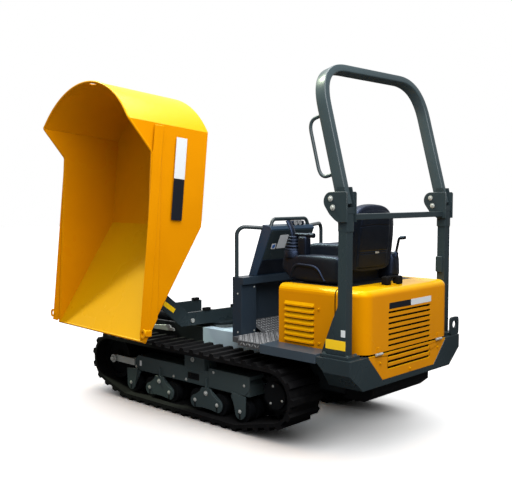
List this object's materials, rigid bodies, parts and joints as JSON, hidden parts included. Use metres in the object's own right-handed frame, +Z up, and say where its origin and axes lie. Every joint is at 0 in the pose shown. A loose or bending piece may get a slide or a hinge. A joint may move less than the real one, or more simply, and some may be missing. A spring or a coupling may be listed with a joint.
{
  "type": "tracked swivel-tip site dumper",
  "caption": "Rubber-tracked site dumper with a slewing, side-tipping skip on a cradle, a seat above the rear engine and a folding roll bar.",
  "frame": {"origin": "on the ground under the middle of the overall box, with the skip tipped over the left side; the machine's centre line runs to the right of it", "axes": "+X forward, the way the operator looks, +Y to the operator's left, +Z up"},
  "size_m": [2.622, 1.8816, 2.4048],
  "materials": {
    "track_rubber": "matt black rubber",
    "dark_paint": "satin anthracite paint",
    "chassis_grey": "satin grey paint",
    "black_paint": "satin black paint",
    "yellow_paint": "gloss yellow paint",
    "tread_plate": "bright five-bar tread",
    "engine_grey": "painted casting",
    "zinc": "zinc plate",
    "black_rubber": "soft black rubber",
    "black_plastic": "grained black moulding",
    "vinyl": "black grained vinyl",
    "chrome": "hard chrome"
  },
  "bodies": {
    "machine": {"track_left": "track_rubber", "track_right": "track_rubber", "idlers": "dark_paint", "idler_yokes": "zinc", "final_drives": "dark_paint", "rollers": "dark_paint", "bogies": "dark_paint", "roller_frames": "dark_paint", "chassis": "chassis_grey", "foot_plate": "tread_plate", "deck": "dark_paint", "rear_bumper": "dark_paint", "grille_panel": "yellow_paint", "belly_guard": "black_paint", "engine": "engine_grey", "side_panels": "yellow_paint", "front_bulkhead": "black_paint", "seat_plate": "black_paint", "hood_seal": "black_rubber", "hood_hinges": "black_paint", "rops_posts": "dark_paint", "rops_crossbar": "dark_paint", "rops_bolts": "zinc", "tie_down": "dark_paint", "console_wall": "dark_paint", "console_pod": "dark_paint", "handrails": "dark_paint", "seat_base": "black_plastic", "seat_cushion": "vinyl", "seat_back": "vinyl", "side_consoles": "black_plastic", "levers": "black_plastic", "slew_ring": "zinc"},
    "swivel": {"turntable": "dark_paint", "cradle": "dark_paint", "rest_pads": "black_rubber", "pins": "zinc"},
    "ram_barrel": {"ram_barrel": "black_paint"},
    "ram_rod": {"ram_rod": "chrome"},
    "skip": {"skip_floor": "yellow_paint", "skip_sides": "yellow_paint", "skip_headboard": "yellow_paint", "skip_lugs": "yellow_paint", "lip_eyes": "yellow_paint"},
    "rops_upper": {"rops_hoop": "dark_paint", "grab_handle": "black_paint"},
    "hood": {"rear_hood": "yellow_paint"}
  },
  "joints": [
    {"name": "slew", "type": "hinge", "parent": "machine", "child": "swivel", "pos_m": [0.50699, -0.29576, 0.63], "axis": [0, 0, 1], "range_deg": [-176, 4]},
    {"name": "tip", "type": "hinge", "parent": "swivel", "child": "skip", "pos_m": [0.56503, 0.53421, 0.935], "axis": [-0.9976, 0.0698, 0], "range_deg": [-84.5, 0]},
    {"name": "ram_swing", "type": "hinge", "parent": "swivel", "child": "ram_barrel", "pos_m": [0.53838, 0.15315, 0.668], "axis": [-0.9976, 0.0698, 0], "range_deg": [-14, 1]},
    {"name": "ram_stroke", "type": "slide", "parent": "ram_barrel", "child": "ram_rod", "axis": [0.0679, 0.971, 0.229], "range_m": [-0.005, 0.215]},
    {"name": "rops_fold", "type": "hinge", "parent": "machine", "child": "rops_upper", "pos_m": [-1.15701, 0.27224, 1.566], "axis": [0, 1, 0], "range_deg": [0, 70]},
    {"name": "hood_open", "type": "hinge", "parent": "machine", "child": "hood", "pos_m": [-1.30401, -0.29576, 0.626], "axis": [0, -1, 0], "range_deg": [0, 70]}
  ],
  "couplings": [
    {"joint": "ram_swing", "follows": "tip", "ratio": 0.14688},
    {"joint": "ram_stroke", "follows": "tip", "m_per_rad": -0.14051}
  ]
}
